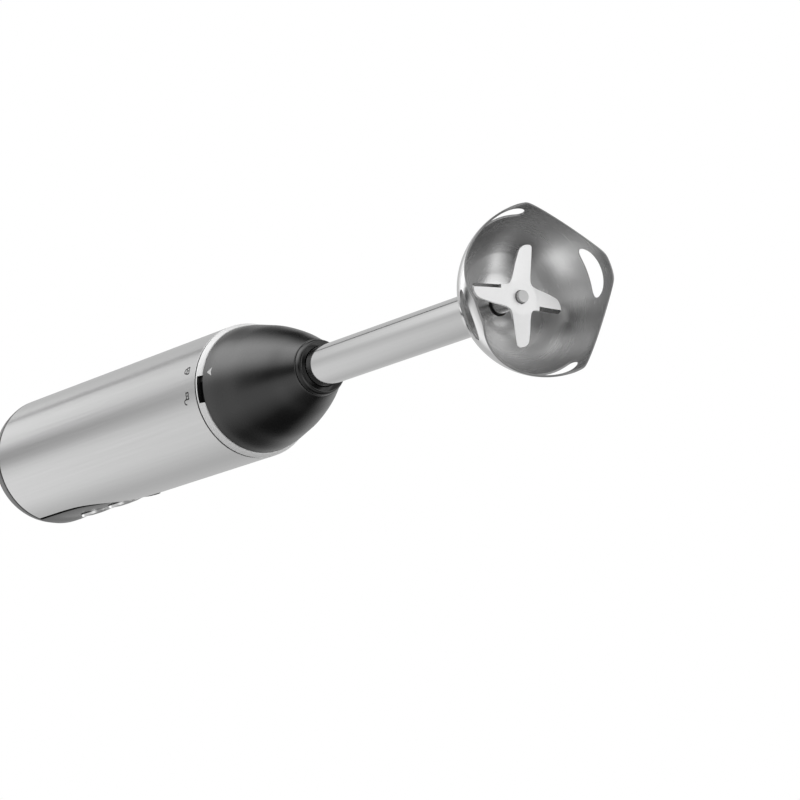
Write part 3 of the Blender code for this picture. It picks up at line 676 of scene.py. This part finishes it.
def make_seal():
    seal = rounded([(4.3, 35.8), (4.3, 33.2, 0.25), (3.9, 32.6, 0.3), (3.3, 32.8, 0.3),
                    (2.85, 33.4, 0.2), (2.85, 35.8)], True)
    piece("seal_lip", turned("seal_lip", seal, 64), "foot", "rubber", [RUBBER], ["shaft_seal"])


def make_blade():
    piece("cross_blade", blade_mesh(), "blade_drive", "polished_steel",
          [STEEL_BLADE, STEEL_GROUND_PAINTED_SHADE], ["blade"], bevel=0.09)


def make_shaft():
    """Drive shaft with a bright ground end and a side painted near-black as shade."""
    end = SHAFT_LOW.z + 0.02
    shaft = turned("blade_shaft", rounded([(0.0, SHAFT_HIGH.z), (SHAFT_R, SHAFT_HIGH.z, 0.3),
                                           (SHAFT_R, end, 0.2), (0.0, end)]), 64, closed=False)
    for face in shaft.polygons:
        # Faces above the ground end take the near-black steel painted as shade.
        face.material_index = int(face.center.z > end + 0.1)
    piece("blade_shaft", shaft, "blade_drive", "polished_steel", [STEEL_SHAFT, STEEL_PAINTED_SHADE],
          ["drive_shaft"])


def make_blade_spacer():
    low, high = extent("blade_sleeve")
    sleeve = rounded([(3.9, high.z, 0.3), (3.9, 24.0, 0.3), (3.6, 23.7, 0.2), (3.6, 21.0, 0.2),
                      (3.9, 20.7, 0.3), (3.9, low.z, 0.3), (2.85, low.z, 0.1), (2.85, high.z)], True)
    piece("blade_spacer", turned("blade_spacer", sleeve, 64), "blade_drive", "polished_steel",
          [STEEL_TURNED], ["blade_sleeve"])


# ---- handle -----------------------------------------------------------------
def make_bezel():
    top = BEZEL_HIGH.z
    profile = rounded([(29.0, top), (29.0, RECESS_Z), (30.0, RECESS_Z, 0.15),
                       (29.9, 220.2, 0.4), (28.75, 217.85, 0.3), (24.3, 217.8, 0.2),
                       (24.3, top, 0.2)], True)
    ring = turned("bezel", profile, 256)
    notch = box_mesh("notch", (NOTCH_REACH, NOTCH_WIDTH, NOTCH_HEIGHT),
                     (NOTCH_FLOOR_R + 0.5 * NOTCH_REACH, 0.0, NOTCH_TOP - 0.5 * NOTCH_HEIGHT),
                     NOTCH_ANGLE)
    made = cut_away(ring, notch)
    unturn = Matrix.Rotation(math.radians(-NOTCH_ANGLE), 3, 'Z')
    for face in made.polygons:
        spot = unturn @ face.center / MM
        walls = (abs(abs(spot.y) - 0.5 * NOTCH_WIDTH), abs(spot.x - NOTCH_FLOOR_R),
                 abs(spot.z - NOTCH_TOP))
        in_notch = spot.x > NOTCH_FLOOR_R - 0.1 and min(walls) < 0.01
        # Notch walls and faces above the recess are painted black as shade.
        face.material_index = int(in_notch or spot.z > RECESS_Z - 0.01)
    piece("bezel", made, "handle", "chrome", [SATIN_CHROME, SOFT_BLACK], ["bezel_ring"],
          bevel=0.08)


def panel_columns(grow):
    """(x, lowest z) across the pointed panel from side to side, grown by a clearance."""
    side = smooth_curve(PANEL_SIDE, 6)
    right = [(p.x + grow, PANEL_LOW.z + p.y - grow) for p in side]
    right[0] = (0.0, PANEL_LOW.z - grow)
    return [(-x, z) for x, z in reversed(right[1:])] + right


def on_handle(radius, x, z):
    """Point of the handle's surface at a sideways distance x from the front line."""
    turn = math.asin(max(-1.0, min(1.0, x / radius))) - math.pi / 2.0
    return (radius * math.cos(turn), radius * math.sin(turn), z)


def sleeve_mesh():
    """Outer skin of the steel sleeve, open at the front behind the panel."""
    opening = panel_columns(0.35)
    edge_x, edge_z = opening[-1]
    edge_turn = math.asin(edge_x / BODY_R)
    columns = [(on_handle(BODY_R, x, 0.0)[:2], z) for x, z in opening]
    back_steps = 132
    back = []
    for i in range(back_steps + 1):
        turn = -math.pi / 2.0 + edge_turn + (2.0 * math.pi - 2.0 * edge_turn) * i / back_steps
        back.append(((BODY_R * math.cos(turn), BODY_R * math.sin(turn)), edge_z))
    columns += back[1:-1]
    mesh_data = bmesh.new()
    low = SLEEVE_LOW.z
    rings = [[(*spot, low + (top - low) * s) for spot, top in columns]
             for s in between(0.0, 1.0, 30)]
    rings_to_mesh(mesh_data, rings, along=False)
    upper = [[(*spot, edge_z + (SLEEVE_HIGH.z - edge_z) * s) for spot, _ in back]
             for s in between(0.0, 1.0, 6)]
    rings_to_mesh(mesh_data, upper, around=False, along=False)
    mesh = finish_mesh("sleeve", mesh_data, 60.0)
    return outwards(mesh)


def outwards(mesh):
    """Flip an open sheet that stands round the Z axis if its faces point at the axis."""
    face = mesh.polygons[len(mesh.polygons) // 2]
    if face.normal.dot(Vector((face.center.x, face.center.y, 0.0))) < 0.0:
        mesh.flip_normals()
    return mesh


def eased(share):
    """Smooth step from 0 to 1."""
    share = min(1.0, max(0.0, share))
    return share ** 2 * (3.0 - 2.0 * share)


def panel_radius(x, z):
    """Panel surface: proud of the sleeve near its tip, hollowed for the thumb above."""
    hollow = eased((z - PANEL_LOW.z) / (HOLLOW_FULL_Z - PANEL_LOW.z))
    hollow *= 1.0 - eased((z - HOLLOW_END_Z) / HOLLOW_FADE)
    return PANEL_R - HOLLOW_DEPTH * hollow * max(0.0, 1.0 - (x / PANEL_HALF) ** 2) ** 1.5


def panel_mesh():
    top = PANEL_HIGH.z
    rings = []
    for s in between(0.0, 1.0, 48):
        ring = []
        for x, low in panel_columns(0.0):
            z = low + (top - low) * s
            ring.append(on_handle(panel_radius(x, z), x, z))
        rings.append(ring)
    mesh_data = bmesh.new()
    rings_to_mesh(mesh_data, rings, around=False, along=False)
    mesh = outwards(finish_mesh("panel", mesh_data, 60.0))
    shell = bpy.data.objects.new("shell", mesh)
    bpy.context.scene.collection.objects.link(shell)
    solid = shell.modifiers.new("wall", 'SOLIDIFY')
    solid.thickness = PANEL_WALL * MM
    solid.offset = -1.0
    thick = evaluated_mesh(shell)
    bpy.data.objects.remove(shell)
    holes = []
    for name in ("power_button", "turbo_button"):
        low, high = extent(name)
        disc = turned("hole", [(0.0, 12.0), (BUTTON_R + 0.35, 12.0), (BUTTON_R + 0.35, -2.0),
                               (0.0, -2.0)], 96, closed=False)
        holes.append(forwards(disc, 0.5 * (low.z + high.z), BUTTON_SEAT_Y + 0.4))
    return cut_away(thick, *holes)


def make_sleeve():
    piece("sleeve", sleeve_mesh(), "handle", "brushed_steel", [STEEL_SLEEVE], ["handle_sleeve"],
          bevel=0.22, wall=SLEEVE_WALL)


def make_panel():
    piece("panel", panel_mesh(), "handle", "soft_black", [SOFT_BLACK], ["front_panel"], bevel=0.3)


def make_cap():
    """Top cap with holes for the dial's spindle and the cord gland."""
    cap = rounded([(0.0, 419.4), (20.4, 418.7, 3.0), (25.4, 415.8, 2.8), (28.8, 411.0, 2.9),
                   (30.0, 405.4, 0.6), (30.0, CAP_LOW.z, 0.3), (27.8, CAP_LOW.z), (27.2, 409.4),
                   (24.2, 413.8), (19.6, 416.2), (0.0, 417.0)], steps=8)
    cap_mesh = turned("cap", cap, 160, closed=False)
    holes = [turned("hole", [(0.0, 425.0), (r, 425.0), (r, 410.0), (0.0, 410.0)], 64,
                    closed=False, centre=(0.0, y))
             for r, y in ((3.2, DIAL_Y), (5.6, GLAND_Y))]
    piece("cap", cut_away(cap_mesh, *holes), "handle", "soft_black", [SOFT_BLACK], ["top_cap"],
          bevel=0.15)


def make_gland():
    """Ribbed rubber gland, empty: no cord is made."""
    gland = [(5.2, 412.6), (5.2, 419.9, 0.2), (6.6, 419.9, 0.3), (6.6, 421.0, 0.3)]
    for rib in range(3):
        base = 421.4 + 1.8 * rib
        gland += [(4.75 - 0.15 * rib, base, 0.15), (4.75 - 0.15 * rib, base + 0.7, 0.15),
                  (5.3 - 0.15 * rib, base + 0.9, 0.2), (5.3 - 0.15 * rib, base + 1.6, 0.2)]
    gland += [(4.3, GLAND_HIGH.z, 0.3), (3.2, GLAND_HIGH.z, 0.2), (3.2, 412.6)]
    piece("gland", turned("gland", rounded(gland, True), 64, centre=(0.0, GLAND_Y)), "handle",
          "rubber", [RUBBER], ["cord_gland"])


def button_mesh(name, height):
    profile = rounded([(0.0, 6.0), (5.0, 5.8, 2.0), (BUTTON_R, 5.2, 0.7), (BUTTON_R, 1.3, 0.2),
                       (2.4, 1.3), (2.4, -0.9), (0.0, -0.9)])
    return forwards(turned(name, profile, 96, closed=False), height, BUTTON_SEAT_Y)


def make_buttons():
    """Two sprung buttons, each in a chrome well."""
    rows = (("power", "power_push", "gloss_black", GLOSS_BLACK),
            ("turbo", "turbo_push", "grey_plastic", GREY_PLASTIC))
    for label, body, slot, surface in rows:
        node = label + "_button"
        low, high = extent(node)
        height = 0.5 * (low.z + high.z)
        piece(label + "_key", button_mesh(label, height), body, slot, [surface], [node])
        well = rounded([(9.5, 5.1, 0.15), (9.5, 4.0), (8.45, 4.0), (8.45, 5.1, 0.3),
                        (8.7, 5.45, 0.2)], True)
        piece(label + "_well", forwards(turned("well", well, 96), height, BUTTON_SEAT_Y),
              "handle", "chrome", [CHROME])


def make_dial():
    """Speed dial: a turned knob whose rim has grip ridges."""
    ridges, steps, depth = 30, 360, 0.35
    profile = rounded([(0.0, DIAL_HIGH.z - 0.5), (8.4, DIAL_HIGH.z - 0.5, 0.8),
                       (9.2, DIAL_HIGH.z, 0.3), (11.4, DIAL_HIGH.z, 0.8), (DIAL_R, 425.6, 0.9),
                       (DIAL_R, DIAL_LOW.z, 0.3), (2.8, DIAL_LOW.z), (2.8, 424.9), (0.0, 424.9)])
    mesh_data = bmesh.new()
    rings = []
    for radius, height in profile:
        ring = []
        for j in range(steps):
            turn = 2.0 * math.pi * j / steps
            rim = max(0.0, min(1.0, (radius - 11.6) / 1.4))
            groove = depth * rim * (0.5 + 0.5 * math.cos(ridges * turn)) ** 3
            reach = max(radius - groove, 0.0001)
            ring.append((reach * math.cos(turn), DIAL_Y + reach * math.sin(turn), height))
        rings.append(ring)
    rings_to_mesh(mesh_data, rings, along=False)
    piece("dial", finish_mesh("dial", mesh_data, 50.0), "dial", "gloss_black", [GLOSS_BLACK],
          ["speed_dial"])


def carry_over():
    """Give every CAD node that still shows the procedural material of its slot."""
    slots = {row["node"]: row["material_slot"] for row in frame["record"]["subparts"]}
    for name, node in frame["nodes"].items():
        if not node.hide_render:
            node.data.materials.clear()
            node.data.materials.append(CARRIED_OVER[slots[name]])


# ---- marks ------------------------------------------------------------------
def flat_shape(loops):
    """Triangulated 2D mesh of closed loops, the inner ones as holes."""
    curve = bpy.data.curves.new("shape", 'CURVE')
    curve.dimensions = '2D'
    curve.fill_mode = 'BOTH'
    for loop in loops:
        spline = curve.splines.new('POLY')
        spline.points.add(len(loop) - 1)
        for point, (x, y) in zip(spline.points, loop):
            point.co = (x, y, 0.0, 1.0)
        spline.use_cyclic_u = True
    guide = bpy.data.objects.new("shape", curve)
    bpy.context.scene.collection.objects.link(guide)
    mesh = evaluated_mesh(guide)
    bpy.data.objects.remove(guide)
    return mesh


def printed(name, loops, place, body, slot, material):
    """A thin printed mark: 2D loops laid on a surface by the function place(x, y)."""
    mesh_data = bmesh.new()
    mesh_data.from_mesh(flat_shape(loops))
    bmesh.ops.remove_doubles(mesh_data, verts=mesh_data.verts, dist=0.001)
    bmesh.ops.triangulate(mesh_data, faces=mesh_data.faces)
    bmesh.ops.subdivide_edges(mesh_data, edges=mesh_data.edges, cuts=1, use_grid_fill=True)
    bmesh.ops.triangulate(mesh_data, faces=mesh_data.faces)
    for vert in mesh_data.verts:
        vert.co = place(vert.co.x, vert.co.y)
    mesh = finish_mesh(name, mesh_data, 60.0)
    piece(name, mesh, body, slot, [material], weighted=False)


def arc_points(radius, start, end, count, centre=(0.0, 0.0)):
    turns = [math.radians(t) for t in between(start, end, count)]
    return [(centre[0] + radius * math.cos(t), centre[1] + radius * math.sin(t)) for t in turns]


def padlock(opened):
    """Line drawing of a padlock: framed body, keyhole and a shackle, swung aside when opened."""
    frame_outer = rounded([(-1.75, -2.1, 0.4), (1.75, -2.1, 0.4), (1.75, 0.4, 0.4),
                           (-1.75, 0.4, 0.4)], True, 3)
    frame_inner = rounded([(-1.15, -1.5, 0.2), (1.15, -1.5, 0.2), (1.15, -0.2, 0.2),
                           (-1.15, -0.2, 0.2)], True, 3)
    keyhole = arc_points(0.4, 0.0, 360.0, 13, (0.0, -0.85))[:-1]
    side, line, reach = (-2.5 if opened else 0.0), 0.6, 1.35
    shackle = [(side + reach, 0.4)] + arc_points(reach, 0.0, 180.0, 11, (side, 1.0))
    shackle += [(side - reach, 0.4), (side - reach + line, 0.4)]
    shackle += arc_points(reach - line, 180.0, 0.0, 11, (side, 1.0)) + [(side + reach - line, 0.4)]
    return [[tuple(p) for p in frame_outer], [tuple(p) for p in frame_inner], keyhole], [shackle]


def on_sleeve(angle, height, x, y):
    reach = BODY_R + 0.02
    turn = math.radians(angle) + x / BODY_R
    return Vector((reach * math.cos(turn), reach * math.sin(turn), height + y))


def on_dome(angle, x, z):
    outline = dome_outline()
    for a, b in zip(outline, outline[1:]):
        if b.y <= z <= a.y:
            radius = b.x + (a.x - b.x) * (z - b.y) / (a.y - b.y) + 0.03
            turn = math.radians(angle) + x / radius
            return Vector((radius * math.cos(turn), radius * math.sin(turn), z))
    raise ValueError("height is off the dome")


def make_marks():
    for name, angle, opened in (("lock_mark", LOCK_ANGLE, False), ("open_mark", OPEN_ANGLE, True)):
        for part, loops in zip(("body", "shackle"), padlock(opened)):
            printed("%s_%s" % (name, part), loops,
                    lambda x, y, a=angle: on_sleeve(a, MARK_HEIGHT, x, y), "handle",
                    "soft_black", MARK_DARK)
    arrow = rounded([(-1.9, 211.6, 0.2), (0.0, 212.2), (1.9, 211.6, 0.2), (0.0, 214.9, 0.2)],
                    True, 3)
    printed("arrow_mark", [[tuple(p) for p in arrow]], lambda x, y: on_dome(ARROW_ANGLE, x, y),
            "foot", "soft_black", MARK_LIGHT)


# ---- studio -----------------------------------------------------------------
CAMERA_PLACE = (0.96816, 0.0, -1.24710)   # metres
CAMERA_LOOK = (-0.57818, -0.01429, 0.81579)
CAMERA_UP = (-0.27757, 0.94366, -0.18019)
CAMERA_LENS, CAMERA_SENSOR = 180.0, 36.0

FILL = 0.6                        # light of the room; 1.0 is the white background
CARD_SOFT = 0.5                   # soft border of a card, as a share of its half width
# Cards of the studio: azimuth, height, half width and half height in degrees, brightness.
SOFTBOXES = {
    "key": (72.0, 27.0, 26.0, 20.0, 1.7),
    "side": (106.0, -8.0, 26.0, 18.0, 1.1),
    "floor_card": (84.0, -82.0, 58.0, 22.0, 1.5),
    "low_back": (-174.0, -55.0, 18.0, 14.0, 1.4),
    "low_left": (-132.0, -42.0, 18.0, 18.0, 0.9),
    "low_side": (122.0, -42.0, 24.0, 16.0, 0.5),
    "front": (-26.0, -15.0, 20.0, 13.0, 0.9),
    "top_back": (92.0, 74.0, 34.0, 12.0, 1.1),
    "top_front": (-30.0, 72.0, 50.0, 14.0, 0.6),
}
# Black flags, placed like the cards, with the share of the light that each one takes away.
FLAGS = {
    "left": (-84.0, -35.0, 26.0, 22.0, 1.0),
    "left_up": (-80.0, 26.0, 40.0, 20.0, 1.0),
    "under_front": (0.0, -50.0, 70.0, 18.0, 0.5),
    "gap": (22.0, 8.0, 13.0, 14.0, 1.0),
    "under_key": (58.0, -24.0, 22.0, 14.0, 1.0),
    "behind_key": (135.0, 30.0, 18.0, 15.0, 1.0),
    "top_gap": (36.0, 74.0, 16.0, 12.0, 1.0),
    "low_gap": (160.0, -75.0, 22.0, 25.0, 0.9),
    "slit": (108.6, 66.0, 2.7, 25.0, 1.0),
}


class Sky(Surface):
    """The world, with the same node helpers as a material."""

    def __init__(self):
        world = bpy.data.worlds.new("studio")
        bpy.context.scene.world = world
        world.use_nodes = True
        self.tree = world.node_tree


def card_light(sky, azimuth, height, card):
    """The card's strength by direction, falling to 0 across its soft border."""
    middle, level, half_width, half_height, strength = card
    across = sky.maths('PINGPONG', sky.maths('SUBTRACT', azimuth, middle), 180.0)
    up = sky.maths('ABSOLUTE', sky.maths('SUBTRACT', height, level))
    inner, outer = 1.0 - CARD_SOFT, 1.0 + CARD_SOFT
    wide = sky.spread(across, strength, 0.0, inner * half_width, outer * half_width)
    tall = sky.spread(up, 1.0, 0.0, inner * half_height, outer * half_height)
    return sky.maths('MULTIPLY', wide, tall)


def make_world():
    """Soft cards and black flags round the object; the camera itself sees plain white."""
    sky = Sky()
    direction = sky.add('ShaderNodeTexCoord').outputs["Generated"]
    parts = sky.add('ShaderNodeSeparateXYZ', {0: direction}).outputs
    azimuth = sky.maths('DEGREES', sky.maths('ARCTAN2', parts[1], parts[0]))
    height = sky.maths('DEGREES', sky.maths('ARCSINE', parts[2]))
    light = FILL
    for card in SOFTBOXES.values():
        light = sky.maths('ADD', light, card_light(sky, azimuth, height, card))
    for card in FLAGS.values():
        kept = sky.maths('SUBTRACT', 1.0, card_light(sky, azimuth, height, card))
        light = sky.maths('MULTIPLY', light, kept)
    seen = sky.add('ShaderNodeLightPath').outputs["Is Camera Ray"]
    strength = sky.add('ShaderNodeMix', {0: seen, 2: light, 3: 1.0}).outputs[0]
    background = sky.tree.nodes["Background"]
    background.inputs["Color"].default_value = (1.0, 1.0, 1.0, 1.0)
    sky.tree.links.new(strength, background.inputs["Strength"])


def make_floor():
    """Pale floor that fades into the white room and shows only from above."""
    reach = 1.4                   # metres
    mesh_data = bmesh.new()
    bmesh.ops.create_circle(mesh_data, cap_ends=True, segments=96, radius=reach)
    mesh = bpy.data.meshes.new("floor")
    mesh_data.to_mesh(mesh)
    mesh_data.free()
    floor = bpy.data.objects.new("floor", mesh)
    floor.location.z = -0.0002
    bpy.context.scene.collection.objects.link(floor)
    made = Surface("floor", roughness=0.8, specular_ior_level=0.2)
    paper = made.noise(made.scaled(60.0, 60.0, 60.0))
    made.link(made.tint(made.spread(paper, 0.0, 1.0), grey(0.90), grey(0.93)), "Base Color")
    made.shader.inputs["Emission Color"].default_value = (1.0, 1.0, 1.0, 1.0)
    made.shader.inputs["Emission Strength"].default_value = 0.25
    spot = made.add('ShaderNodeVectorMath', {0: made.place()}, operation='LENGTH').outputs[1]
    fade = made.spread(spot, 0.0, 1.0, 0.35, 1.3)
    hidden = made.maths('MAXIMUM', fade, made.add('ShaderNodeNewGeometry').outputs["Backfacing"])
    clear = made.add('ShaderNodeBsdfTransparent').outputs[0]
    mixed = made.add('ShaderNodeMixShader', {0: hidden, 1: made.shader.outputs[0], 2: clear})
    output = made.tree.nodes["Material Output"]
    made.tree.links.new(mixed.outputs[0], output.inputs["Surface"])
    mesh.materials.append(made.material)
    for ray in ("diffuse", "glossy", "transmission", "shadow"):
        setattr(floor, "visible_" + ray, False)


def make_camera():
    data = bpy.data.cameras.new("camera")
    data.lens = CAMERA_LENS
    data.sensor_width = CAMERA_SENSOR
    data.clip_end = 20.0
    camera = bpy.data.objects.new("camera", data)
    bpy.context.scene.collection.objects.link(camera)
    look, up = Vector(CAMERA_LOOK).normalized(), Vector(CAMERA_UP)
    side = look.cross(up).normalized()
    turn = Matrix((side, side.cross(look), -look)).transposed()
    camera.matrix_world = Matrix.Translation(CAMERA_PLACE) @ turn.to_4x4()
    bpy.context.scene.camera = camera


make_bell()
make_tube()
make_dome()
make_collar()
make_seal()
make_blade()
make_shaft()
make_blade_spacer()
make_bezel()
make_sleeve()
make_panel()
make_cap()
make_gland()
make_buttons()
make_dial()
make_marks()
carry_over()
make_world()
make_floor()
make_camera()
bpy.context.scene.view_settings.view_transform = 'Standard'
